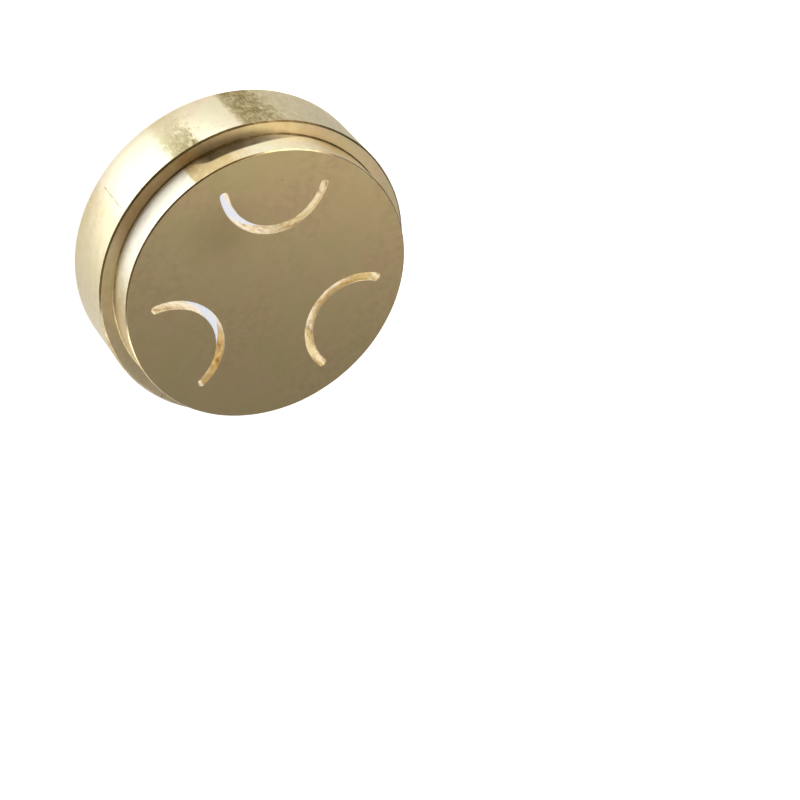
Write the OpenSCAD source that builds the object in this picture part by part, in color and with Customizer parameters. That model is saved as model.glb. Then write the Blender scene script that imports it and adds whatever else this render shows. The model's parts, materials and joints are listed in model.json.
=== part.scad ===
// Extrusion die for short curled pasta, turned from one brass bar.
// It lies on its back face at z = 0 with the turning axis on +Z.
// The rim is clamped by its shoulder and the boss carries the front face.
// Dough fills the recess in the back and leaves through the arc slots.

/* [Rim] */
// Diameter of the rim that sits in the barrel
rim_d = 57; // [55:0.5:70]
// Height of the rim from the back face to the shoulder
rim_h = 13; // [8:0.5:20]
// Edge break on the front and back edges of the rim
rim_chamfer = 0.3; // [0.1:0.05:0.8]

/* [Boss] */
// Diameter of the boss that shows through the clamp ring
boss_d = 52; // [46:0.5:54]
// Height of the boss above the shoulder
boss_h = 6; // [3:0.25:12]
// Edge break round the front face
face_chamfer = 0.4; // [0.1:0.05:1]
// Fillet in the corner between the shoulder and the boss
corner_fillet = 0.5; // [0.2:0.05:0.9]

/* [Recess] */
// Wall left between the recess and the outside of the boss
recess_wall = 3; // [2:0.25:5]
// Fillet between the recess wall and its floor
recess_fillet = 0.5; // [0.2:0.1:1.5]
// Edge break at the mouth of the recess
mouth_chamfer = 0.5; // [0.1:0.1:1.5]

/* [Slots] */
// Number of slots round the axis
slot_count = 3; // [2:1:5]
// Radius of a slot's centre line
slot_r = 9.4; // [6:0.1:11]
// Angle from the centre of one end to the centre of the other
slot_span = 155; // [90:1:170]
// Width of the gap that sets the thickness of the pasta
slot_w = 1.5; // [0.8:0.1:3]
// Straight length of the slot behind the face
land_h = 3.2; // [1.5:0.1:5]
// Width and depth of the sloped entry that leads into the slot
entry_flare = 0.6; // [0.2:0.1:1.2]
// Flat floor left between a slot's entry and the recess fillet
slot_margin = 0.5; // [0.2:0.1:2]

/* [Hidden] */
$fn = 180;
// Cuts run past the surface that they open by this much
cut_over = 0.2;

rim_r = rim_d / 2;
boss_r = boss_d / 2;
total_h = rim_h + boss_h;

recess_r = boss_r - recess_wall;
plate_t = land_h + entry_flare;
recess_h = total_h - plate_t;

// Farthest radius at which the centre of a slot's end can lie
end_reach = recess_r - recess_fillet - slot_margin - entry_flare - slot_w / 2;
// Offsets of that end from the arc's centre, inwards and sideways
end_in = slot_r * cos(slot_span / 2);
end_side = slot_r * sin(slot_span / 2);
// Radius of the circle that carries the arcs' centres
slot_pitch_r = end_in + sqrt(end_reach * end_reach - end_side * end_side);

// Half section of the turned outside, with the fillet's stock at the corner
module outside_section() {
    difference() {
        union() {
            polygon([
                [0, 0],
                [rim_r - rim_chamfer, 0],
                [rim_r, rim_chamfer],
                [rim_r, rim_h - rim_chamfer],
                [rim_r - rim_chamfer, rim_h],
                [boss_r, rim_h],
                [boss_r, total_h - face_chamfer],
                [boss_r - face_chamfer, total_h],
                [0, total_h]
            ]);
            translate([boss_r, rim_h])
                square(corner_fillet);
        }
        translate([boss_r + corner_fillet, rim_h + corner_fillet])
            circle(corner_fillet);
    }
}

// Half section of the recess, cut from the back with a rounded floor corner
module recess_section() {
    difference() {
        polygon([
            [0, -cut_over],
            [recess_r + mouth_chamfer + cut_over, -cut_over],
            [recess_r, mouth_chamfer],
            [recess_r, recess_h],
            [0, recess_h]
        ]);
        difference() {
            translate([recess_r - recess_fillet, recess_h - recess_fillet])
                square(recess_fillet + cut_over);
            translate([recess_r - recess_fillet, recess_h - recess_fillet])
                circle(recess_fillet);
        }
    }
}

// Swept arc with round ends, of half width w0 at the bottom and w1 at the top
module swept_arc(w0, w1, h) {
    rotate(-slot_span / 2)
        rotate_extrude(angle = slot_span)
            polygon([
                [slot_r - w0, 0],
                [slot_r + w0, 0],
                [slot_r + w1, h],
                [slot_r - w1, h]
            ]);
    for (end = [-1, 1])
        rotate(end * slot_span / 2)
            translate([slot_r, 0, 0])
                cylinder(h = h, r1 = w0, r2 = w1);
}

// One slot with its sloped entry, bowed towards the axis
module slot_cut() {
    half_w = slot_w / 2;
    translate([slot_pitch_r, 0, 0])
        rotate(180) {
            translate([0, 0, recess_h - cut_over])
                swept_arc(half_w, half_w, plate_t + 2 * cut_over);
            translate([0, 0, recess_h - cut_over])
                swept_arc(half_w + entry_flare + cut_over, half_w, entry_flare + cut_over);
        }
}

// The whole die, one turned and milled piece
module die_body() {
    color([0.72, 0.62, 0.41])
        difference() {
            rotate_extrude()
                outside_section();
            rotate_extrude()
                recess_section();
            for (i = [0 : slot_count - 1])
                rotate(90 + i * 360 / slot_count)
                    slot_cut();
        }
}

die_body();
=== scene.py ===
"""Looks of a turned brass pasta extrusion die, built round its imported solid.

The die lies on its back with the face up, as in the frame. One closed skin, worked out
with numpy, stands for the solid: a turned outline carried round the axis, a slot section
carried round each slot, and two flat sheets, face and recess floor, that join them.
Sizes of the die are in millimetres and become metres where a mesh is made.
"""
import json
import logging
import math
from dataclasses import dataclass
from enum import Enum, IntEnum
from typing import Any

import bpy
import numpy as np
from mathutils import Matrix, Vector
from mathutils.geometry import delaunay_2d_cdt


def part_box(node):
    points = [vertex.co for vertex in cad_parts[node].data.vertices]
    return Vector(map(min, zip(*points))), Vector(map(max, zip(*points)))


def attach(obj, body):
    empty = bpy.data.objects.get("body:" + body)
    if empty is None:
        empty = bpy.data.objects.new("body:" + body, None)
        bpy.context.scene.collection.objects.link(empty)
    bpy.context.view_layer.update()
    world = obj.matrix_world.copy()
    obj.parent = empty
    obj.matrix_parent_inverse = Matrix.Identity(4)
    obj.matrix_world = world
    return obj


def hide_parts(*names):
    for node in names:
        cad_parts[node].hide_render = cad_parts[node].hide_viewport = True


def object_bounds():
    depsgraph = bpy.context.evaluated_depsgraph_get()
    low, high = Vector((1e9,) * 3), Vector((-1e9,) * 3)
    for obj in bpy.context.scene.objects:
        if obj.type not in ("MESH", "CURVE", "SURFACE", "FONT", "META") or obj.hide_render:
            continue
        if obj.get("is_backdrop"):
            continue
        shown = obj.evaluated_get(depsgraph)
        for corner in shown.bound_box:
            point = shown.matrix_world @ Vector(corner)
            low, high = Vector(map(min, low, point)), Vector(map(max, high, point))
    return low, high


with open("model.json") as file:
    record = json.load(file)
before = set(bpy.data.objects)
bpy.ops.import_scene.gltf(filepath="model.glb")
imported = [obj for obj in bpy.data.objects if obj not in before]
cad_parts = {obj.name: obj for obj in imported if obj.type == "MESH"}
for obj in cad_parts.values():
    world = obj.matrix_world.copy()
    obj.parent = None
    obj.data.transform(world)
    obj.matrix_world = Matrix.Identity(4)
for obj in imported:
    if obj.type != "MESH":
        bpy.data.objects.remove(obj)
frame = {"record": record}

LOG = logging.getLogger("die")
MM = 0.001
PHOTO_PX = 800
NODE = "die_body"
BODY = "root"
UP = Vector((0, 0, 1))
WHITE = (1.0, 1.0, 1.0, 1.0)
INSIDE_ONLY = 1
WELD_MM = 1e-6
NOISE_MEAN = 0.5
BROAD_NOISE = {"Detail": 1.0}
FINE_NOISE = {"Detail": 2.0, "Roughness": 0.5}
HATCH_NOISE = {"Detail": 2.0, "Roughness": 0.6}
SOFT_NOISE = {"Detail": 3.0, "Roughness": 0.6}
BUSY_NOISE = {"Detail": 4.0, "Roughness": 0.65}
SMOOTH = {"interpolation_type": "SMOOTHSTEP"}


class Zone(IntEnum):
    """Surfaces of the die that were finished in different ways, by material slot."""

    FACE = 0
    RIM = 1
    BOSS = 2
    FLAT = 3
    EDGE = 4
    CUT = 5
    RECESS = 6
    LIP = 7


class Kind(Enum):
    """Kinds of node that the finishes and the studio use, by Blender's names."""

    COORDINATES = "ShaderNodeTexCoord"
    GEOMETRY = "ShaderNodeNewGeometry"
    LIGHT_PATH = "ShaderNodeLightPath"
    SPLIT = "ShaderNodeSeparateXYZ"
    JOIN = "ShaderNodeCombineXYZ"
    MAPPING = "ShaderNodeMapping"
    MATHS = "ShaderNodeMath"
    VECTOR = "ShaderNodeVectorMath"
    RANGE = "ShaderNodeMapRange"
    MIX = "ShaderNodeMix"
    RAMP = "ShaderNodeValToRGB"
    NOISE = "ShaderNodeTexNoise"
    CELLS = "ShaderNodeTexVoronoi"
    BUMP = "ShaderNodeBump"
    METAL = "ShaderNodeBsdfPrincipled"
    MATT = "ShaderNodeBsdfDiffuse"
    CLEAR = "ShaderNodeBsdfTransparent"
    GLOW = "ShaderNodeEmission"
    SKY = "ShaderNodeBackground"
    BOTH = "ShaderNodeAddShader"
    EITHER = "ShaderNodeMixShader"
    SURFACE = "ShaderNodeOutputMaterial"
    WORLD = "ShaderNodeOutputWorld"


def linear(code: str) -> tuple[float, float, float, float]:
    """Turns an sRGB hex colour into linear red, green, blue and alpha, by sRGB's formula.

    Args:
        code: Colour such as "#C8A050".

    Returns:
        Four numbers for a colour socket.
    """
    srgb = np.array([int(code[i:i + 2], 16) for i in (1, 3, 5)]) / 255
    low, high = srgb / 12.92, ((srgb + 0.055) / 1.055) ** 2.4
    return (*np.where(srgb <= 0.04045, low, high).tolist(), 1.0)


def per_metre(size_mm: float) -> float:
    """Texture scale at which one cell of a pattern measures size_mm."""
    return 1 / (size_mm * MM)


def socket(sockets: Any, key: str) -> Any:
    """Finds a socket by its identifier.

    Args:
        sockets: A node's inputs or outputs.
        key: The socket's identifier, which is its name where that is unique.

    Returns:
        The socket.
    """
    return next(s for s in sockets if s.identifier == key)


@dataclass
class Graph:
    """Nodes of a material or of the world, with its coordinates as the first of them."""

    tree: Any
    place: Any = None

    @classmethod
    def of(cls, owner: Any, coordinates: str = "Object") -> "Graph":
        """Clears the nodes of a material or world and adds its coordinates.

        Args:
            owner: The material or world.
            coordinates: Which of the coordinates are used.

        Returns:
            The graph.
        """
        owner.use_nodes = True
        graph = cls(owner.node_tree)
        graph.tree.nodes.clear()
        graph.place = graph.add(Kind.COORDINATES, {}, coordinates)
        return graph

    def add(self, kind: Kind, values: dict[str, Any] | tuple[Any, ...], out: str = "",
            **settings: Any) -> Any:
        """Adds a node with its settings, values and links.

        Args:
            kind: Kind of node.
            values: Plain values or outputs of other nodes, by input identifier or in order.
            out: Identifier of the output that is wanted, or "" for the first one in use.
            settings: Properties of the node itself.

        Returns:
            The output socket, or None where the node has none.
        """
        node = self.tree.nodes.new(kind.value)
        for name, value in settings.items():
            setattr(node, name, value)
        if not isinstance(values, dict):
            values = {s.identifier: v for s, v in zip(node.inputs, values)}
        for key, value in values.items():
            target = socket(node.inputs, key)
            if isinstance(value, bpy.types.NodeSocket):
                self.tree.links.new(value, target)
            else:
                target.default_value = value
        if out:
            return socket(node.outputs, out)
        return next((s for s in node.outputs if s.enabled), None)


@dataclass(frozen=True)
class Sizes:
    """Sizes of the die in millimetres, from the frame where it gives them.

    The rest repeats the driving dimensions of the solid.
    """

    rim_r: float
    boss_r: float
    shoulder_z: float
    top_z: float
    rim_chamfer: float
    recess_wall: float = 3.0
    recess_fillet: float = 0.5
    mouth_chamfer: float = 0.5
    slot_count: int = 3
    slot_r: float = 9.4
    slot_span: float = math.radians(155)
    slot_w: float = 1.5
    land_h: float = 3.2
    entry_flare: float = 0.6
    slot_margin: float = 0.5
    first_slot: float = math.radians(90)

    @classmethod
    def from_frame(cls) -> "Sizes":
        """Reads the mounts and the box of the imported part.

        Returns:
            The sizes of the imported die.
        """
        mounts = {m["name"]: m for m in frame["record"]["mounts"]}
        shoulder_z = mounts["shoulder"]["pos_m"][2] / MM
        return cls(
            rim_r=mounts["rim"]["dims"]["r_mm"],
            boss_r=mounts["boss"]["dims"]["r_mm"],
            shoulder_z=shoulder_z,
            top_z=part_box(NODE)[1].z / MM,
            rim_chamfer=(shoulder_z - mounts["rim"]["dims"]["length_mm"]) / 2,
        )

    @property
    def recess_r(self) -> float:
        """Radius of the recess in the back."""
        return self.boss_r - self.recess_wall

    @property
    def floor_z(self) -> float:
        """Height of the recess floor, behind the slots' land and entry."""
        return self.top_z - self.land_h - self.entry_flare

    @property
    def pitch_r(self) -> float:
        """Works out where the slots' arcs have their centres.

        An arc's ends lie at the largest radius that keeps the slot's entry on the recess
        floor. By Pythagoras its centre lies further out than the middle of the line between
        them, by the arc's radius times the cosine of half its span.

        Returns:
            Distance of the centres from the axis.
        """
        reach = (self.recess_r - self.recess_fillet - self.slot_margin
                 - self.entry_flare - self.slot_w / 2)
        half = self.slot_span / 2
        side = self.slot_r * math.sin(half)
        return self.slot_r * math.cos(half) + math.sqrt(reach**2 - side**2)


def rounded_profile(corners: np.ndarray, radii: np.ndarray,
                    steps: int) -> tuple[np.ndarray, np.ndarray]:
    """Rounds the inner corners of an open outline.

    At each corner the direction of travel turns evenly from the run before to the run
    after. A point of the arc is the arc's start, plus the radius times the difference of
    the side directions at the start and at that point.

    Args:
        corners: Array (..., n, 2) of the corners in order.
        radii: Rounding of the n - 2 inner corners.
        steps: Number of points on each arc.

    Returns:
        Points and left-hand normals, each (..., 2 + (n - 2) * steps, 2).
    """
    runs = np.diff(corners, axis=-2)
    runs = runs / np.linalg.norm(runs, axis=-1, keepdims=True)
    before, after = runs[..., :-1, :], runs[..., 1:, :]
    cross = before[..., 0] * after[..., 1] - before[..., 1] * after[..., 0]
    turn = np.arctan2(cross, (before * after).sum(-1))
    start = corners[..., 1:-1, :] - before * (radii * np.tan(np.abs(turn) / 2))[..., None]
    angle = turn[..., None] * np.linspace(0, 1, steps)
    c, s = np.cos(angle), np.sin(angle)
    dx, dy = before[..., 0:1], before[..., 1:2]
    travel = np.stack([dx * c - dy * s, dx * s + dy * c], -1)
    left = np.stack([-travel[..., 1], travel[..., 0]], -1)
    bend = (radii * np.sign(turn))[..., None, None]
    arcs = start[..., None, :] + bend * (left[..., :1, :] - left)
    flat = arcs.shape[:-3] + (-1, 2)
    points = [corners[..., :1, :], arcs.reshape(flat), corners[..., -1:, :]]
    normals = [left[..., 0, :1, :], left.reshape(flat), left[..., -1, -1:, :]]
    return np.concatenate(points, -2), np.concatenate(normals, -2)


def carried(base: np.ndarray, side: np.ndarray, profile: np.ndarray,
            normals: np.ndarray) -> tuple[np.ndarray, np.ndarray]:
    """Carries a profile along a path in the plane.

    A point is the path's point, plus the profile's first number times the path's side
    direction, with the profile's second number as its height. Normals follow the same sum.

    Args:
        base: Path points (n, 2).
        side: Unit side directions of the path (n, 2).
        profile: Profile points (m, 2), or (n, m, 2) where it changes along the path.
        normals: Profile normals of the same shape.

    Returns:
        Points and normals as grids (n, m, 3).
    """
    shape = (len(base),) + profile.shape[-2:]
    profile, normals = np.broadcast_to(profile, shape), np.broadcast_to(normals, shape)
    flat = base[:, None, :] + profile[..., :1] * side[:, None, :]
    tilt = normals[..., :1] * side[:, None, :]
    return (np.concatenate([flat, profile[..., 1:]], -1),
            np.concatenate([tilt, normals[..., 1:]], -1))


def ring_quads(first: int, around: int, along: int, outward: bool) -> np.ndarray:
    """Numbers the quads of a grid that closes on itself round its path.

    Args:
        first: Number of the grid's first vertex.
        around: Points round the path.
        along: Points along the profile.
        outward: True where the profile's left side faces out.

    Returns:
        Vertex numbers (around * (along - 1), 4).
    """
    i, j = np.meshgrid(np.arange(around), np.arange(along - 1), indexing="ij")
    k = (i + 1) % around
    corners = [i * along + j, i * along + j + 1, k * along + j + 1, k * along + j]
    quads = first + np.stack(corners, -1).reshape(-1, 4)
    return quads if outward else quads[:, ::-1]


@dataclass
class DieSkin:
    """The closed skin of the die, with every edge a little rounded as tools leave it."""

    sizes: Sizes
    around: int = 600
    arc_steps: int = 5
    slot_steps: int = 96
    cap_steps: int = 20
    edge_round: float = 0.07
    face_break: float = 0.21
    corner_round: float = 0.22
    slot_break: float = 0.06
    slot_round: float = 0.03
    lip: float = 0.1
    face_ring: float = 0.4
    break_wander: float = 0.06
    wander_waves: int = 9
    seed: int = 4
    flat_tilt: float = 0.97

    def wander(self, angle: np.ndarray) -> np.ndarray:
        """Widths of a hand-broken edge round the die, about 1 on average.

        The sum of a few waves, an odd number per turn, with seeded sizes and phases.

        Args:
            angle: Angles round the axis.

        Returns:
            Two columns of factors, for the face's edge and the rim's front edge.
        """
        rng = np.random.default_rng(self.seed)
        size = rng.normal(0, 1, (2, self.wander_waves)) / math.sqrt(self.wander_waves)
        phase = rng.uniform(0, 2 * math.pi, (2, self.wander_waves))
        wave = np.arange(1, self.wander_waves + 1) * 2 + 1
        return 1 + self.break_wander * (
            size * np.cos(angle[:, None, None] * wave + phase)).sum(-1)

    def turned(self) -> tuple[np.ndarray, np.ndarray]:
        """Carries the turned outline, from face to recess floor, round the axis.

        Returns:
            Points and normals as grids (around, outline, 3).
        """
        s = self.sizes
        angle = np.arange(self.around) * 2 * math.pi / self.around
        side = np.stack([np.cos(angle), np.sin(angle)], -1)
        face_break, rim_break = (self.wander(angle) * [self.face_break, s.rim_chamfer]).T
        floor_end = s.recess_r - s.recess_fillet - s.slot_margin / 2
        corners = [
            (s.boss_r - face_break - self.face_ring, s.top_z),
            (s.boss_r - face_break, s.top_z),
            (s.boss_r, s.top_z - face_break),
            (s.boss_r, s.shoulder_z),
            (s.rim_r - rim_break, s.shoulder_z),
            (s.rim_r, s.shoulder_z - rim_break),
            (s.rim_r, s.rim_chamfer),
            (s.rim_r - s.rim_chamfer, 0),
            (s.recess_r + s.mouth_chamfer, 0),
            (s.recess_r, s.mouth_chamfer),
            (s.recess_r, s.floor_z),
            (floor_end, s.floor_z),
        ]
        e = self.edge_round
        radii = np.array([e, e, self.corner_round, e, e, e, e, e, e, s.recess_fillet])
        outline = np.stack(
            [np.stack(np.broadcast_arrays(*c, angle)[:2], -1) for c in corners], 1)
        profile, normals = rounded_profile(outline, radii, self.arc_steps)
        return carried(np.zeros_like(side), side, profile, normals)

    def slot(self, number: int) -> tuple[np.ndarray, np.ndarray]:
        """Carries the slot's section round the outline of one slot.

        The path is the slot's centre line out, round its end, and back. The section runs
        from the face down the land, over the sloped entry and on to the recess floor.

        Args:
            number: Which slot, from 0.

        Returns:
            Points and normals as grids (outline, section, 3).
        """
        s = self.sizes
        half = s.slot_span / 2
        arc = np.linspace(-half, half, self.slot_steps, endpoint=False)
        cap = np.linspace(0, math.pi, self.cap_steps, endpoint=False)
        path = np.concatenate([arc, half + 0 * cap, -arc, -half + 0 * cap])
        facing = np.concatenate([arc, half + cap, -arc + math.pi, math.pi - half + cap])
        base = s.slot_r * np.stack([np.cos(path), np.sin(path)], -1)
        side = np.stack([np.cos(facing), np.sin(facing)], -1)
        turn = s.first_slot + number * 2 * math.pi / s.slot_count
        c, d = math.cos(turn), math.sin(turn)
        spin = np.array([[-c, -d], [d, -c]])
        base = base @ spin + s.pitch_r * np.array([c, d])
        w, b = s.slot_w / 2, self.slot_break
        section = np.array([
            (w + b + self.lip, s.top_z),
            (w + b, s.top_z),
            (w, s.top_z - b),
            (w, s.floor_z + s.entry_flare),
            (w + s.entry_flare, s.floor_z),
            (w + s.entry_flare + self.lip, s.floor_z),
        ])
        profile, normals = rounded_profile(section, np.full(4, self.slot_round), self.arc_steps)
        return carried(base, side @ spin, profile, -normals)

    def sheet(self, loops: list[np.ndarray], points: np.ndarray, up: bool) -> np.ndarray:
        """Fills the flat area between a round outer loop and the loops of the slots.

        Args:
            loops: Vertex numbers of each loop, the outer one first.
            points: All vertices of the skin.
            up: True where the sheet faces up.

        Returns:
            Vertex numbers of its triangles (n, 3).
        """
        number = np.concatenate(loops)
        place = points[number, :2]
        starts = np.cumsum([0] + [len(loop) for loop in loops[:-1]])
        edges = [np.stack([np.arange(len(loop)), np.roll(np.arange(len(loop)), -1)], -1) + first
                 for loop, first in zip(loops, starts)]
        _, _, corners, origins, _, _ = delaunay_2d_cdt(
            place.tolist(), np.concatenate(edges).tolist(), [], INSIDE_ONLY, WELD_MM)
        found = np.array(origins)[:, 0][np.array(corners)]
        middle = place[found].mean(1)
        inside = np.zeros(len(middle), bool)
        for start, loop in zip(starts[1:], loops[1:]):
            edge = place[start:start + len(loop)]
            after = np.roll(edge, -1, 0)
            y, x = middle[:, 1:], middle[:, :1]
            spans = (edge[:, 1] > y) != (after[:, 1] > y)
            rise = np.where(after[:, 1] == edge[:, 1], 1, after[:, 1] - edge[:, 1])
            cut = edge[:, 0] + (y - edge[:, 1]) * (after[:, 0] - edge[:, 0]) / rise
            inside |= (spans & (x < cut)).sum(1) % 2 == 1
        triangles = number[found[~inside]]
        a, b, c = (points[triangles[:, k], :2] for k in range(3))
        area = (b - a)[:, 0] * (c - a)[:, 1] - (b - a)[:, 1] * (c - a)[:, 0]
        wrong = (area > 0) != up
        triangles[wrong] = triangles[wrong][:, ::-1]
        return triangles

    def zones(self, middle: np.ndarray, facing: np.ndarray) -> np.ndarray:
        """Sorts faces of the turned grid by where they lie and how far they tilt.

        Args:
            middle: Middle of each face.
            facing: Normal of each face.

        Returns:
            A zone for each face.
        """
        s = self.sizes
        radius, tilt = np.hypot(middle[:, 0], middle[:, 1]), np.abs(facing[:, 2])
        inside = (radius < s.recess_r + s.mouth_chamfer) & (middle[:, 2] < s.top_z - self.lip)
        on_face = (tilt > self.flat_tilt) & (middle[:, 2] > s.top_z - self.lip)
        upright = tilt < 1 - self.flat_tilt
        corner = ((radius < s.boss_r + self.corner_round)
                  & (middle[:, 2] < s.shoulder_z + self.corner_round))
        return np.select(
            [inside, on_face, corner, tilt > self.flat_tilt,
             upright & (middle[:, 2] < s.shoulder_z), upright],
            [Zone.RECESS, Zone.FACE, Zone.EDGE, Zone.FLAT, Zone.RIM, Zone.BOSS], Zone.EDGE)

    def slot_zones(self, middle: np.ndarray, facing: np.ndarray) -> np.ndarray:
        """Sorts faces of a slot's grid into face, lip, wall and recess floor.

        Args:
            middle: Middle of each face.
            facing: Normal of each face.

        Returns:
            A zone for each face.
        """
        lip = middle[:, 2] > self.sizes.top_z - self.slot_break
        return np.select([facing[:, 2] > self.flat_tilt, facing[:, 2] < -self.flat_tilt, lip],
                         [Zone.FACE, Zone.RECESS, Zone.LIP], Zone.CUT)

    def build(self) -> bpy.types.Object:
        """Joins the turned grid, the slots and the two sheets into one mesh.

        Returns:
            The skin's object, at the origin, with a material number on every face.
        """
        s = self.sizes
        grids = [self.turned()] + [self.slot(k) for k in range(s.slot_count)]
        points, normals = (
            np.concatenate([part.reshape(-1, 3) for part in parts]) for parts in zip(*grids))
        quads, zones, first_loops, last_loops = [], [], [], []
        start = 0
        for k, (grid, _) in enumerate(grids):
            around, along = grid.shape[:2]
            found = ring_quads(start, around, along, k == 0)
            quads.append(found)
            sort = self.zones if k == 0 else self.slot_zones
            zones.append(sort(points[found].mean(1), normals[found].mean(1)))
            first_loops.append(start + np.arange(around) * along)
            last_loops.append(first_loops[-1] + along - 1)
            start += around * along
        face = self.sheet(first_loops, points, True)
        floor = self.sheet(last_loops, points, False)
        zones += [np.full(len(face), Zone.FACE), np.full(len(floor), Zone.RECESS)]
        mesh = bpy.data.meshes.new("die_skin")
        faces = np.concatenate(quads).tolist() + face.tolist() + floor.tolist()
        mesh.from_pydata((points * MM).tolist(), [], faces)
        mesh.polygons.foreach_set("material_index", np.concatenate(zones).astype(np.int32))
        mesh.polygons.foreach_set("use_smooth", np.ones(len(faces), bool))
        mesh.update()
        mesh.normals_split_custom_set_from_vertices(normals.tolist())
        skin = bpy.data.objects.new("die_skin", mesh)
        bpy.context.scene.collection.objects.link(skin)
        LOG.info("die_skin: %d vertices, %d faces", len(points), len(faces))
        return skin

    def dress(self, skin: bpy.types.Object) -> None:
        """Gives the skin its finishes, one material slot for each zone.

        Args:
            skin: The skin's object.
        """
        finishes = {
            Zone.FACE: FaceFinish(), Zone.RIM: RimFinish(), Zone.BOSS: BossFinish(),
            Zone.FLAT: FlatFinish(), Zone.EDGE: EdgeFinish(), Zone.CUT: CutFinish(),
            Zone.RECESS: RecessFinish(), Zone.LIP: LipFinish()}
        for zone in Zone:
            skin.data.materials.append(finishes[zone].material())


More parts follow.
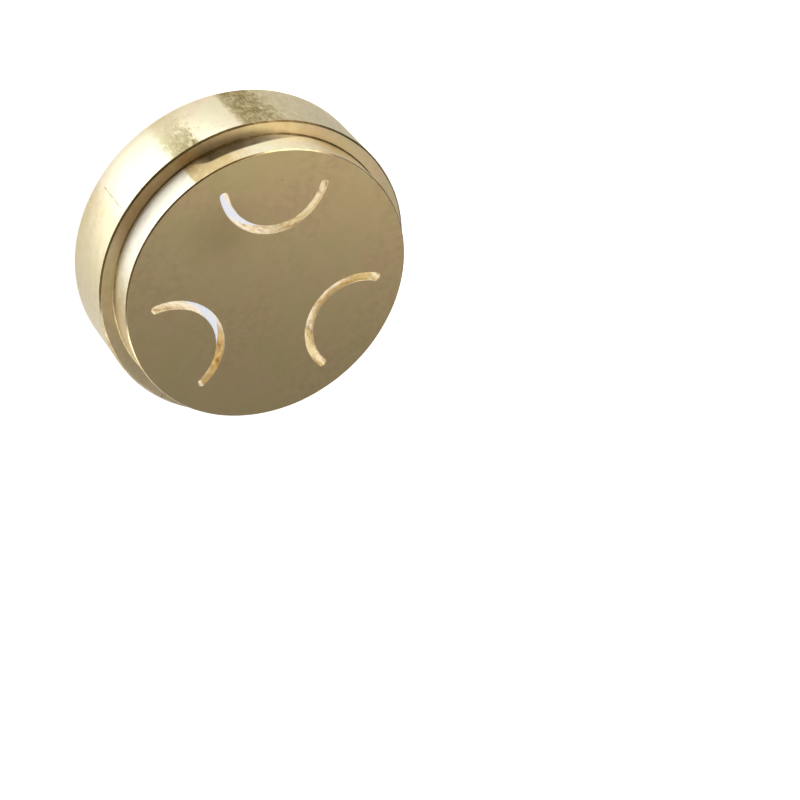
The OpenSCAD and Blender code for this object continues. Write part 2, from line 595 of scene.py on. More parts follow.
@dataclass(frozen=True)
class Brass:
    """Turned brass bar: a warm metal, bare and a little hazy from handling.

    Film is the thin brown skin that handled brass grows. It shows as soft mottling and as tiny
    specks, darkens the metal and takes off some of its shine. Some finishes lay painted shade
    over the metal in the same colour. A band holds the two values of a noise between which what
    the noise steers fades in.
    """

    name: str = "turned_brass"
    colour: str = "#F3E3BD"
    warm: str = "#F4DDBC"
    olive: str = "#ECE2B8"
    # Colour of the brown skin, and of the dark painted shade in the finishes that add it.
    film_and_shade: str = "#7E6C46"
    roughness: float = 0.3
    dulling: float = 0.12
    blotch_mm: float = 8.0
    blotch_stops: tuple[float, float, float] = (0.3, 0.5, 0.7)
    groove_mm: float = 0.3
    groove_depth_mm: float = 0.0015
    groove_length_mm: float = 12.0
    mottle_mm: float = 1.5
    mottle: float = 0.1
    mottle_band: tuple[float, float] = (0.42, 0.72)
    soil_blotches: float = 2.0
    soil_band: tuple[float, float] = (0.38, 0.62)
    soil_shares: tuple[float, float] = (0.3, 1.7)
    speck_gap_mm: float = 3.5
    speck_mm: float = 0.5
    speck: float = 0.6
    speck_chance: float = 0.5
    speck_soft: float = 1 / 3

    def across(self, graph: Graph) -> Any:
        """Adds the coordinate that runs across turned grooves.

        Distance from the axis less height changes across the grooves of a flat face and
        of a round wall alike.

        Args:
            graph: The material's nodes.

        Returns:
            The coordinate.
        """
        flat = graph.add(Kind.VECTOR, (graph.place, (1.0, 1.0, 0.0)), operation="MULTIPLY")
        radius = graph.add(Kind.VECTOR, (flat,), operation="LENGTH")
        height = graph.add(Kind.SPLIT, (graph.place,), "Z")
        return graph.add(Kind.MATHS, (radius, height), operation="SUBTRACT")

    def blotched_and_shaded(self, graph: Graph) -> Any:
        """Adds the alloy's colour with soft warm and olive patches.

        Args:
            graph: The material's nodes.

        Returns:
            Colour output.
        """
        noise = graph.add(Kind.NOISE, {
            "Vector": graph.place, "Scale": per_metre(self.blotch_mm), **SOFT_NOISE})
        colour = graph.add(Kind.RAMP, {"Fac": noise})
        stops = colour.node.color_ramp.elements
        first, last = stops
        first.position, middle, last.position = self.blotch_stops
        first.color, last.color = linear(self.olive), linear(self.warm)
        stops.new(middle).color = linear(self.colour)
        return colour

    def grooves(self, graph: Graph) -> Any:
        """Adds fine tool marks: noise that is long round the axis and short across it.

        Args:
            graph: The material's nodes.

        Returns:
            Height from 0 to 1.
        """
        slow = graph.add(Kind.VECTOR, {
            "Vector": graph.place, "Scale": per_metre(self.groove_length_mm)},
            operation="SCALE")
        split = graph.add(Kind.SPLIT, (slow,)).node
        fast = graph.add(Kind.MATHS, (self.across(graph), per_metre(self.groove_mm)),
                         operation="MULTIPLY")
        joined = graph.add(Kind.JOIN, (
            socket(split.outputs, "X"), socket(split.outputs, "Y"), fast))
        return graph.add(Kind.NOISE, {"Vector": joined, "Scale": 1.0, **FINE_NOISE})

    def filmed_and_shaded(self, graph: Graph, marks: Any) -> Any:
        """Adds the film: soft mottling, and specks round the points of a cell pattern.

        A speck lies where the distance from its point is less than a random share of the
        largest speck's radius; part of the points have none. Some places are more soiled.

        Args:
            graph: The material's nodes.
            marks: Height of the tool marks, which some finishes use.

        Returns:
            Film from 0 to 1.
        """
        noise = graph.add(Kind.NOISE, {
            "Vector": graph.place, "Scale": per_metre(self.mottle_mm), **BUSY_NOISE})
        mottle = graph.add(Kind.RANGE, (noise, *self.mottle_band, 0.0, self.mottle))
        where = graph.add(Kind.NOISE, {
            "Vector": graph.place, "Scale": per_metre(self.soil_blotches * self.blotch_mm),
            **BROAD_NOISE})
        soiled = graph.add(Kind.RANGE, (where, *self.soil_band, *self.soil_shares))
        reach = graph.add(Kind.CELLS, {
            "Vector": graph.place, "Scale": per_metre(self.speck_gap_mm)})
        chance = graph.add(Kind.SPLIT, (socket(reach.node.outputs, "Color"),), "X")
        most = self.speck_mm / 2 / self.speck_gap_mm
        size = graph.add(Kind.RANGE, (chance, self.speck_chance, 1.0, 0.0, most))
        inside = graph.add(Kind.MATHS, (size, reach), operation="SUBTRACT")
        speck = graph.add(Kind.RANGE, (
            inside, 0.0, most * self.speck_soft, 0.0, self.speck))
        film_and_shade = graph.add(Kind.MATHS, (mottle, speck), operation="MAXIMUM")
        return graph.add(Kind.MATHS, (film_and_shade, soiled), operation="MULTIPLY", use_clamp=True)

    def gloss(self, graph: Graph) -> dict[str, Any]:
        """Further inputs of the shader, by identifier; none for plain metal."""
        return {}

    def material(self) -> bpy.types.Material:
        """Builds the material: the brown skin, with any painted shade, lies over the alloy, and
        the bump is the tool marks.

        Returns:
            The material.
        """
        made = bpy.data.materials.new(self.name)
        graph = Graph.of(made)
        marks = self.grooves(graph)
        film_and_shade = self.filmed_and_shaded(graph, marks)
        colour = graph.add(Kind.MIX, {
            "Factor_Float": film_and_shade, "A_Color": self.blotched_and_shaded(graph),
            "B_Color": linear(self.film_and_shade)}, data_type="RGBA")
        rough = graph.add(Kind.MATHS, (film_and_shade, self.dulling, self.roughness),
                          operation="MULTIPLY_ADD")
        bump = graph.add(Kind.BUMP, {
            "Height": marks, "Distance": self.groove_depth_mm * MM, "Strength": 1.0})
        metal = graph.add(Kind.METAL, {
            "Base Color": colour, "Metallic": 1.0, "Roughness": rough, "Normal": bump,
            **self.gloss(graph)})
        graph.add(Kind.SURFACE, {"Surface": metal})
        return made


@dataclass(frozen=True)
class FaceFinish(Brass):
    """Lapped face: an even satin sheen, faint turning arcs, brown mottling, pale scuffs, and a
    soft patch of painted shade near its edge on the camera's side.
    """

    name: str = "lapped_brass_face"
    colour: str = "#EFD8A7"
    warm: str = "#F0D3A7"
    olive: str = "#E9D7A2"
    film_and_shade: str = "#8A744C"
    mottle: float = 0.13
    scuff: str = "#FFF3DC"
    scuff_mm: float = 0.8
    scuff_length: float = 3.5
    scuff_angle: float = math.radians(-38)
    scuff_band: tuple[float, float] = (0.64, 0.8)
    scuff_cover: float = 0.3
    # Painted shade: a soft dark patch on the face, centred near its edge on the camera's side.
    painted_shade_cloud_mm: tuple[float, float, float] = (-5.8, -13.8, 19.0)
    painted_shade_cloud_r_mm: float = 9.0
    painted_shade_cloud: float = 0.3

    def filmed_and_shaded(self, graph: Graph, marks: Any) -> Any:
        """Adds a soft patch of painted shade to the plain brown skin, fading out from its
        middle.

        Args:
            graph: The material's nodes.
            marks: Height of the tool marks.

        Returns:
            Film from 0 to 1.
        """
        middle = tuple(c * MM for c in self.painted_shade_cloud_mm)
        reach = graph.add(Kind.VECTOR, (graph.place, middle), operation="DISTANCE")
        painted_shade_cloud = graph.add(Kind.RANGE, (
            reach, self.painted_shade_cloud_r_mm * MM, 0.0, 0.0, self.painted_shade_cloud), **SMOOTH)
        return graph.add(Kind.MATHS, (super().filmed_and_shaded(graph, marks), painted_shade_cloud),
                         operation="ADD", use_clamp=True)

    def blotched_and_shaded(self, graph: Graph) -> Any:
        """Adds pale scuffs to the alloy's colour: the peaks of a noise stretched one way.

        Args:
            graph: The material's nodes.

        Returns:
            Colour output.
        """
        along = graph.add(Kind.MAPPING, {
            "Vector": graph.place, "Rotation": (0.0, 0.0, self.scuff_angle),
            "Scale": (self.scuff_length, 1.0, 1.0)}, vector_type="TEXTURE")
        noise = graph.add(Kind.NOISE, {
            "Vector": along, "Scale": per_metre(self.scuff_mm), **FINE_NOISE})
        pale = graph.add(Kind.RANGE, (noise, *self.scuff_band, 0.0, self.scuff_cover))
        return graph.add(Kind.MIX, {
            "Factor_Float": pale, "A_Color": super().blotched_and_shaded(graph),
            "B_Color": linear(self.scuff)}, data_type="RGBA")


@dataclass(frozen=True)
class LipFinish(Brass):
    """Edge of a slot: soft in its shine, and paler than the face, which paints a bright line
    along it.
    """

    name: str = "slot_lip_painted_highlight"
    # Painted highlight: a pale colour so that the slot's edge reads as a bright line.
    colour: str = "#F8EED6"
    warm: str = "#F8EAD2"
    olive: str = "#F3ECD0"
    roughness: float = 0.5


@dataclass(frozen=True)
class ShadeAndStainBand:
    """One strip along a wall. Most are painted shade: dark or deeper yellow bands at set
    angles, where the wall reflects dark or dim surroundings; a few on the back are tarnish
    marks.

    It runs round the wall from first to last, angles in degrees, and up it from low to
    high, in millimetres. Each bound has a softness. An arched strip rises to high only at
    its middle.
    """

    first: float
    last: float
    strength: float
    grain: float = 0.3
    first_soft: float = 2.0
    last_soft: float = 2.0
    low: float = -9.0
    high: float = 29.0
    low_soft: float = 0.1
    high_soft: float = 0.4
    fray: float = 0.0
    arched: bool = False


@dataclass(frozen=True)
class RimFinish(Brass):
    """Turned wall of the rim: grooves round the axis stretch highlights along it.

    Strips are hatched along the axis and patchy. Most paint shade: dark and deeper yellow bands
    at set angles on the camera's side, where the wall reflects dark or dim surroundings; three
    on the back are tarnish marks.
    """

    name: str = "turned_brass_rim"
    colour: str = "#EBDDB6"
    warm: str = "#EBD8B4"
    olive: str = "#E5DCB2"
    film_and_shade: str = "#8C7B48"
    gold_shade_and_tone: str = "#DCC286"
    anisotropy: float = 0.85
    hatch_mm: float = 0.3
    hatch_length: float = 4.0
    patch_mm: float = 1.5
    # Painted shade: dark bands at set angles on the camera's side, where the wall reflects dark
    # surroundings; the last three, on the back, are tarnish marks.
    shade_and_stains: tuple[ShadeAndStainBand, ...] = (
        ShadeAndStainBand(-35.9, -25.9, 0.78, 0.9, 3, 2.5, low=5, low_soft=8, fray=10),
        ShadeAndStainBand(-69, -52.4, 0.72, 1.5, 8, 1.4, fray=7),
        ShadeAndStainBand(-116, -60, 0.4, 0.5, 5, 6),
        ShadeAndStainBand(-1.3, -0.7, 0.45, 1.5, 0.2, 0.2, low=3, high=11.75),
        ShadeAndStainBand(88, 104, 0.36, 1, 3, 2, fray=8),
        ShadeAndStainBand(158, 168, 0.36, 1, 3, 3, fray=8),
        ShadeAndStainBand(-164, -140, 0.3, 1, 3, 6, fray=8),
    )
    # Painted shade: deeper yellow bands at set angles on the camera's side, where the wall
    # reflects dim surroundings.
    golden_shade_and_tone: tuple[ShadeAndStainBand, ...] = (
        ShadeAndStainBand(-66, -52, 0.5, 0.3, 8, 1),
        ShadeAndStainBand(-37, -25.5, 0.4, 0.3, 5, 2),
        ShadeAndStainBand(1, 50, 0.5, 0.3, 4, 20),
    )

    def strip(self, graph: Graph, angle: Any, height: Any, grain: Any, shade_stain_band: ShadeAndStainBand) -> Any:
        """Adds one strip: painted shade at most angles, a tarnish mark on the back.

        It is the strip's strength, broken up by the grain, times four smooth steps: at its
        two ends, its top and its foot.

        Args:
            graph: The material's nodes.
            angle: Angle round the axis.
            height: Height above the floor.
            grain: Noise about 0.
            shade_stain_band: The strip.

        Returns:
            Film from 0 to 1.
        """
        frayed = graph.add(Kind.MATHS, (grain, math.radians(shade_stain_band.fray), angle),
                           operation="MULTIPLY_ADD")
        ends = ((shade_stain_band.first - shade_stain_band.first_soft, shade_stain_band.first + shade_stain_band.first_soft),
                (shade_stain_band.last + shade_stain_band.last_soft, shade_stain_band.last - shade_stain_band.last_soft))
        enter, leave = (graph.add(Kind.RANGE, (frayed, *map(math.radians, end)), **SMOOTH)
                        for end in ends)
        band = graph.add(Kind.MATHS, (enter, leave), operation="MULTIPLY")
        arch = (shade_stain_band.low - shade_stain_band.high) * MM if shade_stain_band.arched else 0.0
        raised = graph.add(Kind.MATHS, (band, arch, height), operation="MULTIPLY_ADD")
        top = shade_stain_band.low if shade_stain_band.arched else shade_stain_band.high
        below = graph.add(Kind.RANGE, (
            raised, top * MM, (top - shade_stain_band.high_soft) * MM), **SMOOTH)
        above = graph.add(Kind.RANGE, (
            height, (shade_stain_band.low - shade_stain_band.low_soft) * MM,
            (shade_stain_band.low + shade_stain_band.low_soft) * MM), **SMOOTH)
        film_and_shade = graph.add(Kind.MATHS, (grain, shade_stain_band.grain, shade_stain_band.strength),
                         operation="MULTIPLY_ADD", use_clamp=True)
        for step in (band, below, above):
            film_and_shade = graph.add(Kind.MATHS, (film_and_shade, step), operation="MULTIPLY")
        return film_and_shade

    def wall(self, graph: Graph) -> tuple[Any, Any, Any]:
        """Adds what strips are placed by.

        The grain is the sum of a hatch that is long along the axis and of patches.

        Args:
            graph: The material's nodes.

        Returns:
            Angle round the axis, height above the floor, and grain about 0.
        """
        split = graph.add(Kind.SPLIT, (graph.place,)).node
        x, y, height = (socket(split.outputs, k) for k in "XYZ")
        back = graph.add(Kind.MATHS, (y, -1.0), operation="MULTIPLY")
        angle = graph.add(Kind.MATHS, (x, back), operation="ARCTAN2")
        long = graph.add(Kind.VECTOR, (
            graph.place, (1.0, 1.0, 1 / self.hatch_length)), operation="MULTIPLY")
        hatch = graph.add(Kind.NOISE, {
            "Vector": long, "Scale": per_metre(self.hatch_mm), **HATCH_NOISE})
        patch = graph.add(Kind.NOISE, {
            "Vector": graph.place, "Scale": per_metre(self.patch_mm), **SOFT_NOISE})
        both = graph.add(Kind.MATHS, (hatch, patch), operation="ADD")
        grain = graph.add(Kind.MATHS, (both, 2 * NOISE_MEAN), operation="SUBTRACT")
        return angle, height, grain

    def strips(self, graph: Graph, film_and_shade: Any, shade_and_stains: tuple[ShadeAndStainBand, ...]) -> Any:
        """Adds the strips, mostly painted shade, to another darkening; the strongest one shows.

        Args:
            graph: The material's nodes.
            film_and_shade: The other film.
            shade_and_stains: The strips.

        Returns:
            Film from 0 to 1.
        """
        angle, height, grain = self.wall(graph)
        for shade_stain_band in shade_and_stains:
            strip = self.strip(graph, angle, height, grain, shade_stain_band)
            film_and_shade = graph.add(Kind.MATHS, (film_and_shade, strip), operation="MAXIMUM")
        return film_and_shade

    def filmed_and_shaded(self, graph: Graph, marks: Any) -> Any:
        """Adds the dark strips of painted shade, and the tarnish marks on the back, to the
        plain brown skin.
        """
        return self.strips(graph, super().filmed_and_shaded(graph, marks), self.shade_and_stains)

    def blotched_and_shaded(self, graph: Graph) -> Any:
        """Adds the deeper yellow strips of painted shade to the alloy's colour.

        Args:
            graph: The material's nodes.

        Returns:
            Colour output.
        """
        return graph.add(Kind.MIX, {
            "Factor_Float": self.strips(graph, 0.0, self.golden_shade_and_tone),
            "A_Color": super().blotched_and_shaded(graph), "B_Color": linear(self.gold_shade_and_tone)},
            data_type="RGBA")

    def gloss(self, graph: Graph) -> dict[str, Any]:
        """Stretches the gloss across the grooves.

        The direction round the axis, crossed with the normal, points along the axis.

        Args:
            graph: The material's nodes.

        Returns:
            Anisotropy and tangent.
        """
        ring = graph.add(Kind.VECTOR, (tuple(UP), graph.place), operation="CROSS_PRODUCT")
        facing = graph.add(Kind.GEOMETRY, {}, "Normal")
        over = graph.add(Kind.VECTOR, (ring, facing), operation="CROSS_PRODUCT")
        return {"Anisotropic": self.anisotropy, "Tangent": over}


@dataclass(frozen=True)
class BossFinish(RimFinish):
    """Turned wall of the boss: like the rim, with painted shade dark in the corner at its foot,
    arched into crescents, and in bands at set angles.
    """

    name: str = "turned_brass_boss"
    colour: str = "#F8EDCC"
    warm: str = "#F8E8CC"
    olive: str = "#F3ECC8"
    # Colour of the dark painted shade at the foot.
    film_and_shade: str = "#54442A"
    gold_shade_and_tone: str = "#D2B478"
    roughness: float = 0.36
    anisotropy: float = 0.92
    # Painted shade: deeper yellow bands at set angles, where the wall reflects dim
    # surroundings.
    golden_shade_and_tone: tuple[ShadeAndStainBand, ...] = (
        ShadeAndStainBand(-48, -26.3, 0.95, 0.3, 9, 0.8, fray=2),
        ShadeAndStainBand(-125, -81, 0.75, 0.3, 12, 8),
        ShadeAndStainBand(23, 90, 0.7, 0.3, 13, 12),
    )
    # Painted shade: a faint band up the wall, and darkening in the corner at its foot, arched
    # into crescents in two places.
    shade_and_stains: tuple[ShadeAndStainBand, ...] = (
        ShadeAndStainBand(-42, -26.3, 0.12, 0.3, 6, 0.8, fray=2),
        ShadeAndStainBand(-70, -31, 0.95, 0.2, 22, 6, low=13, high=16.2, low_soft=0.05,
              high_soft=0.6, arched=True),
        ShadeAndStainBand(-111, -66, 0.8, 0.2, 6, 6, high=13.8),
        ShadeAndStainBand(20, 66, 0.3, 0.2, 6, 8, low=13.25, high=15.6, high_soft=2.4),
        ShadeAndStainBand(95, 150, 0.8, 0.2, 25, 25, low=13, high=15, low_soft=0.05,
              arched=True),
    )


@dataclass(frozen=True)
class FlatFinish(RimFinish):
    """Faced shoulder and back: satin without the lapping. The shoulder is painted a deeper
    yellow-brown in a band on the camera's side, as painted shade of its reflection, and in one
    more band on the far side.
    """

    name: str = "faced_brass_shoulder"
    colour: str = "#F8E6C0"
    warm: str = "#F8DFBC"
    olive: str = "#F2E5BA"
    gold_shade_and_tone: str = "#CDA878"
    roughness: float = 0.4
    anisotropy: float = 0.0
    # Painted shade: deeper yellow-brown bands on the shoulder, one on the camera's side, one on
    # the far side.
    golden_shade_and_tone: tuple[ShadeAndStainBand, ...] = (
        ShadeAndStainBand(-34, 8, 0.75, 0.3, 7, 10, low=12.5),
        ShadeAndStainBand(100, 150, 0.5, 0.3, 12, 12, low=12.5),
    )
    shade_and_stains: tuple[ShadeAndStainBand, ...] = ()


@dataclass(frozen=True)
class EdgeFinish(RimFinish):
    """Broken edges: smooth metal that draws a thin line, bright, and dark or deeper yellow
    where painted shade at set angles stands in for the dark surroundings that the edge
    reflects.
    """

    name: str = "broken_brass_edge"
    colour: str = "#EADBB6"
    warm: str = "#EBD6B4"
    olive: str = "#E3D9B0"
    film_and_shade: str = "#5E4A28"
    gold_shade_and_tone: str = "#C9A460"
    roughness: float = 0.2
    anisotropy: float = 0.0
    # Painted shade: deeper yellow bands along the edges at set angles.
    golden_shade_and_tone: tuple[ShadeAndStainBand, ...] = (
        ShadeAndStainBand(-52, 32, 0.9, 0.3, 6, 8),
        ShadeAndStainBand(120, 175, 0.9, 0.3, 8, 4),
    )
    # Painted shade: dark lines along the edges at set angles, where they reflect dark
    # surroundings.
    shade_and_stains: tuple[ShadeAndStainBand, ...] = (
        ShadeAndStainBand(-48, 0, 0.5, 0.8, 6, 8),
        ShadeAndStainBand(-4, 38, 0.28, 0.8, 8, 8, high=13, high_soft=0.05),
        ShadeAndStainBand(-4, 38, 0.28, 0.8, 8, 8, low=18),
        ShadeAndStainBand(-50, -16, 0.92, 0.4, 6, 6, low=13, high=13.5, low_soft=0.02),
        ShadeAndStainBand(-4, 16, 0.45, 0.8, 8, 6, low=13, high=13.5, low_soft=0.02),
        ShadeAndStainBand(-150, -44, 0.92, 0.4, 6, 5, low=12.7, high=14, low_soft=0.04),
        ShadeAndStainBand(-105, -50, 0.25, 0.6, 8, 8, low=18),
        ShadeAndStainBand(-158, -103, 0.85, 0.4, 5, 8, low=18),
        ShadeAndStainBand(40, 112, 0.62, 0.6, 8, 8, high=13, high_soft=0.05),
        ShadeAndStainBand(52, 115, 0.55, 0.6, 12, 8, low=18),
        ShadeAndStainBand(130, 170, 0.8, 0.5, 8, 8),
    )


@dataclass(frozen=True)
class CutFinish(Brass):
    """Slot walls cut with a wire: bright metal, lined along the cut, stained in places."""

    name: str = "cut_brass_slot"
    colour: str = "#F7EED0"
    warm: str = "#F2D9A4"
    olive: str = "#EEE7C6"
    film_and_shade: str = "#9A6E36"
    roughness: float = 0.22
    groove_mm: float = 0.35
    groove_depth_mm: float = 0.004
    groove_length_mm: float = 2.0
    blotch_mm: float = 3.0
    mottle_mm: float = 1.2
    mottle: float = 0.55
    line_band: tuple[float, float] = (0.5, 0.72)
    line_film: float = 0.5

    def across(self, graph: Graph) -> Any:
        """Adds the height, which runs across the lines of the cut."""
        return graph.add(Kind.SPLIT, (graph.place,), "Z")

    def filmed_and_shaded(self, graph: Graph, marks: Any) -> Any:
        """Adds film that stays in the lines of the cut to the plain film.

        Args:
            graph: The material's nodes.
            marks: Height of the tool marks.

        Returns:
            Film from 0 to 1.
        """
        lines = graph.add(Kind.RANGE, (marks, *self.line_band, 0.0, self.line_film))
        return graph.add(Kind.MATHS, (super().filmed_and_shaded(graph, marks), lines),
                         operation="MAXIMUM")


@dataclass(frozen=True)
class RecessFinish(Brass):
    """Bored recess: coarser turning marks and a duller sheen than the outside."""

    name: str = "bored_brass_recess"
    colour: str = "#F1DEB1"
    warm: str = "#F3D7B0"
    olive: str = "#E9DEAC"
    roughness: float = 0.36
    groove_mm: float = 0.5
    groove_depth_mm: float = 0.004
    mottle: float = 0.25


@dataclass(frozen=True)
class PhotoCamera:
    """The photograph's camera, from angles, distance and where the die's middle shows."""

    azimuth: float = math.radians(-22.86)
    elevation: float = math.radians(53.35)
    roll: float = math.radians(140.28)
    distance: float = 0.4282
    lens_mm: float = 109.67
    sensor_mm: float = 36.0
    middle_px: tuple[float, float] = (247.3, 261.1)

    def towards(self, azimuth: float, elevation: float) -> Vector:
        """Unit vector from the die, at angles counted from the camera's own azimuth.

        Args:
            azimuth: Angle round the axis from the camera, in radians.
            elevation: Angle above the floor, in radians.

        Returns:
            The vector.
        """
        a = self.azimuth + azimuth
        flat = math.cos(elevation)
        return Vector((math.sin(a) * flat, -math.cos(a) * flat, math.sin(elevation)))

    def build(self, middle: Vector) -> bpy.types.Object:
        """Makes the camera and sets it on the scene.

        The camera first looks straight at the die's middle, rolled; then it turns by the
        angle between its axis and the ray through the pixel where the middle shows.

        Args:
            middle: Middle of the die's box.

        Returns:
            The camera.
        """
        data = bpy.data.cameras.new("photo_camera")
        data.lens, data.sensor_width = self.lens_mm, self.sensor_mm
        camera = bpy.data.objects.new("photo_camera", data)
        bpy.context.scene.collection.objects.link(camera)
        back = self.towards(0.0, self.elevation)
        right = UP.cross(back).normalized()
        level = Matrix((right, back.cross(right), back)).transposed()
        focal_px = self.lens_mm / self.sensor_mm * PHOTO_PX
        across, down = (p - PHOTO_PX / 2 for p in self.middle_px)
        ray = Vector((across / focal_px, -down / focal_px, -1))
        swing = ray.rotation_difference(-UP).to_matrix()
        turn = level @ Matrix.Rotation(self.roll, 3, "Z") @ swing
        camera.matrix_world = Matrix.Translation(middle + back * self.distance) @ turn.to_4x4()
        bpy.context.scene.camera = camera
        return camera


class Aim(Enum):
    """What a lamp is turned to."""

    DIE = "die"
    FLOOR = "floor"


@dataclass(frozen=True)
class Softbox:
    """One rectangular lamp, placed by angles from the camera and a distance from the die.

    A grid narrows the spread, so that a lamp above the floor lights the floor alone.
    """

    name: str
    azimuth: float
    elevation: float
    distance: float
    width: float
    height: float
    radiance: float
    colour: str = "#FFFFFF"
    aim: Aim = Aim.DIE
    spread: float = 180.0

    def build(self, camera: PhotoCamera, middle: Vector) -> None:
        """Makes the lamp; its power is radiance times area times pi.

        Args:
            camera: The camera that the angles count from.
            middle: Middle of the die's box.
        """
        data = bpy.data.lights.new(self.name, "AREA")
        data.shape, data.size, data.size_y = "RECTANGLE", self.width, self.height
        data.energy = self.radiance * self.width * self.height * math.pi
        data.color = linear(self.colour)[:3]
        data.spread = math.radians(self.spread)
        lamp = bpy.data.objects.new(self.name, data)
        lamp.visible_camera = False
        bpy.context.scene.collection.objects.link(lamp)
        out = camera.towards(math.radians(self.azimuth), math.radians(self.elevation))
        flat = camera.towards(math.radians(self.azimuth), 0.0)
        away = out if self.aim is Aim.DIE else UP
        across = flat.cross(UP)
        turn = Matrix((across, away.cross(across), away)).transposed().to_4x4()
        lamp.matrix_world = Matrix.Translation(middle + out * self.distance) @ turn
        LOG.info("%s: %.2f W", self.name, data.energy)


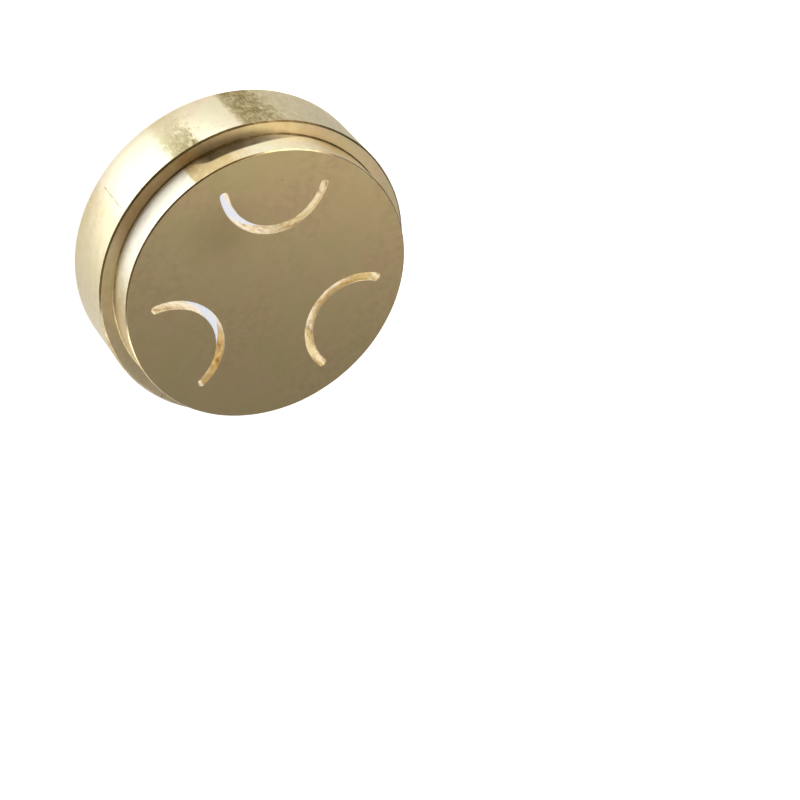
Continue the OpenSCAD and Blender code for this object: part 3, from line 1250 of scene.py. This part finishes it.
@dataclass(frozen=True)
class Studio:
    """Pale floor, a soft room that is paler near the horizon than above, and lamps.

    The floor glows, and a glow of 1 is white. Only the camera and the mirror of the metal see
    it. What the metal mirrors is painted light: a brighter patch on the floor round the die,
    white on the camera's side and dimmer behind, and a glowing pad on the floor under the
    recess, where the die shades it.
    """

    floor_half: float = 4.0
    floor_drop: float = 0.00005
    floor_colour: str = "#F2F2F4"
    floor_glow: float = 0.8
    # Painted light in reflections: how brightly the floor glows for the metal, from behind the
    # die to the camera's side.
    painted_pool_near: float = 0.98
    painted_pool_far: float = 0.45
    painted_pool_from: float = -0.008
    painted_pool_to: float = 0.04
    painted_pool_rise: float = 1.2
    painted_pool_colour: str = "#E2ECFF"
    painted_pool_azimuth: float = 14.0
    # Painted light under the recess, where the die shades the floor: a glow there that the
    # slots show and their walls mirror.
    painted_pad_r: float = 0.022
    painted_pad_glow: float = 1.0
    painted_pad_colour: str = "#ECEEF4"
    painted_pad_seen: float = 0.74
    painted_pad_seen_colour: str = "#CDE2FF"
    wall_light: float = 0.35
    ceiling_light: float = 0.16
    wall_top: float = 18.0
    ceiling_foot: float = 38.0
    lamps: tuple[Softbox, ...] = (
        Softbox("right_softbox", -128, 62, 0.8, 0.66, 0.46, 1.0, "#FFF6E6"),
        Softbox("side_softbox", -62, 50, 0.8, 0.62, 0.4, 1.65, "#FFF6E6"),
        Softbox("left_softbox", 111, 50, 0.8, 0.8, 0.36, 0.95),
        Softbox("right_low", -72, 25, 0.7, 0.4, 0.14, 4.4, "#FFF4DC"),
        Softbox("left_low", 118, 8, 0.7, 0.6, 0.14, 2.8, "#FFF6E4"),
        Softbox("floor_grid", 11, 51.6, 0.141, 0.13, 0.113, 1.45, "#D2E3FF", Aim.FLOOR, 4),
    )

    def mirrored_painted_light(self, graph: Graph, on_painted_pad: Any, camera: PhotoCamera) -> tuple[Any, Any]:
        """Adds the floor as the metal shows it, as painted light: white on the camera's side,
        dimmer behind, and glowing under the recess.

        Args:
            graph: The floor's nodes.
            on_painted_pad: 1 under the recess, 0 elsewhere.
            camera: The camera, for its azimuth.

        Returns:
            Strength and colour.
        """
        # Painted light: the glow that the metal mirrors rises from behind the die towards the
        # camera's side.
        towards = camera.towards(math.radians(self.painted_pool_azimuth), 0.0)
        nearer = graph.add(Kind.VECTOR, (graph.place, towards), operation="DOT_PRODUCT")
        ramp = graph.add(Kind.RANGE, (nearer, self.painted_pool_from, self.painted_pool_to))
        rise = graph.add(Kind.MATHS, (ramp, self.painted_pool_rise), operation="POWER")
        painted_pool = graph.add(Kind.RANGE, (rise, 0.0, 1.0, self.painted_pool_far, self.painted_pool_near))
        strength = graph.add(Kind.MIX, {
            "Factor_Float": on_painted_pad, "A_Float": painted_pool, "B_Float": self.painted_pad_glow})
        colour = graph.add(Kind.MIX, {
            "Factor_Float": on_painted_pad, "A_Color": linear(self.painted_pool_colour),
            "B_Color": linear(self.painted_pad_colour)}, data_type="RGBA")
        return strength, colour

    def floor(self, camera: PhotoCamera) -> bpy.types.Object:
        """Builds the floor: diffuse, so that it keeps the shadow, with a glow.

        The camera sees it white, with a bluish glow of painted light under the recess, and the
        metal mirrors it with painted light added, brighter on the camera's side and under the
        recess. From below it is clear, so that the back can be looked at.

        Args:
            camera: The camera, for its azimuth.

        Returns:
            The floor's object, marked as stage.
        """
        h, z = self.floor_half, -self.floor_drop
        mesh = bpy.data.meshes.new("floor")
        mesh.from_pydata([(-h, -h, z), (h, -h, z), (h, h, z), (-h, h, z)], [], [(0, 1, 2, 3)])
        material = bpy.data.materials.new("pale_floor")
        graph = Graph.of(material)
        path = graph.add(Kind.LIGHT_PATH, {}).node
        seen, glossy, through = (socket(path.outputs, ray) for ray in (
            "Is Camera Ray", "Is Glossy Ray", "Is Transmission Ray"))
        radius = graph.add(Kind.VECTOR, (graph.place,), operation="LENGTH")
        # Painted light: the floor under the recess glows.
        on_painted_pad = graph.add(Kind.MATHS, (radius, self.painted_pad_r), operation="LESS_THAN")
        strength, colour = self.mirrored_painted_light(graph, on_painted_pad, camera)
        bent = graph.add(Kind.MATHS, (glossy, through), operation="MAXIMUM")
        by_mirror = graph.add(Kind.MATHS, (strength, bent), operation="MULTIPLY")
        by_eye = graph.add(Kind.MIX, {
            "Factor_Float": on_painted_pad, "A_Float": self.floor_glow, "B_Float": self.painted_pad_seen})
        white = graph.add(Kind.MIX, {
            "Factor_Float": on_painted_pad, "A_Color": WHITE,
            "B_Color": linear(self.painted_pad_seen_colour)}, data_type="RGBA")
        glow = graph.add(Kind.GLOW, {
            "Strength": graph.add(Kind.MIX, {
                "Factor_Float": seen, "A_Float": by_mirror, "B_Float": by_eye}),
            "Color": graph.add(Kind.MIX, {
                "Factor_Float": seen, "A_Color": colour, "B_Color": white},
                data_type="RGBA")})
        matt = graph.add(Kind.MATT, {"Color": linear(self.floor_colour)})
        above = graph.add(Kind.BOTH, (glow, matt))
        under = graph.add(Kind.GEOMETRY, {}, "Backfacing")
        clear = graph.add(Kind.CLEAR, {})
        side = graph.add(Kind.EITHER, (under, above, clear))
        graph.add(Kind.SURFACE, {"Surface": side})
        mesh.materials.append(material)
        floor = bpy.data.objects.new("floor", mesh)
        bpy.context.scene.collection.objects.link(floor)
        floor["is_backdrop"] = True
        return floor

    def room(self) -> None:
        """Lights the world: pale at the horizon, fading to a dim ceiling."""
        world = bpy.data.worlds.new("studio_room")
        bpy.context.scene.world = world
        graph = Graph.of(world, "Generated")
        up = graph.add(Kind.SPLIT, (graph.place,), "Z")
        foot, top = (math.sin(math.radians(a)) for a in (self.wall_top, self.ceiling_foot))
        level = graph.add(Kind.RANGE, (
            up, foot, top, self.wall_light, self.ceiling_light), **SMOOTH)
        sky = graph.add(Kind.SKY, {"Strength": level})
        graph.add(Kind.WORLD, {"Surface": sky})

    def build(self, camera: PhotoCamera, middle: Vector) -> None:
        """Builds floor, room and lamps.

        Args:
            camera: The camera that places count from.
            middle: Middle of the die's box.
        """
        self.floor(camera)
        self.room()
        for lamp in self.lamps:
            lamp.build(camera, middle)


def main() -> None:
    """Builds the die's skin, the camera and the studio."""
    logging.basicConfig(level=logging.INFO, format="%(name)s: %(message)s")
    cad_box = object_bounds()
    skin_maker = DieSkin(Sizes.from_frame())
    skin = skin_maker.build()
    skin_maker.dress(skin)
    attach(skin, BODY)
    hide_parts(NODE)
    middle = (cad_box[0] + cad_box[1]) / 2
    camera = PhotoCamera()
    camera.build(middle)
    Studio().build(camera, middle)
    bpy.context.scene.view_settings.view_transform = "Standard"


if __name__ == "__main__":
    main()
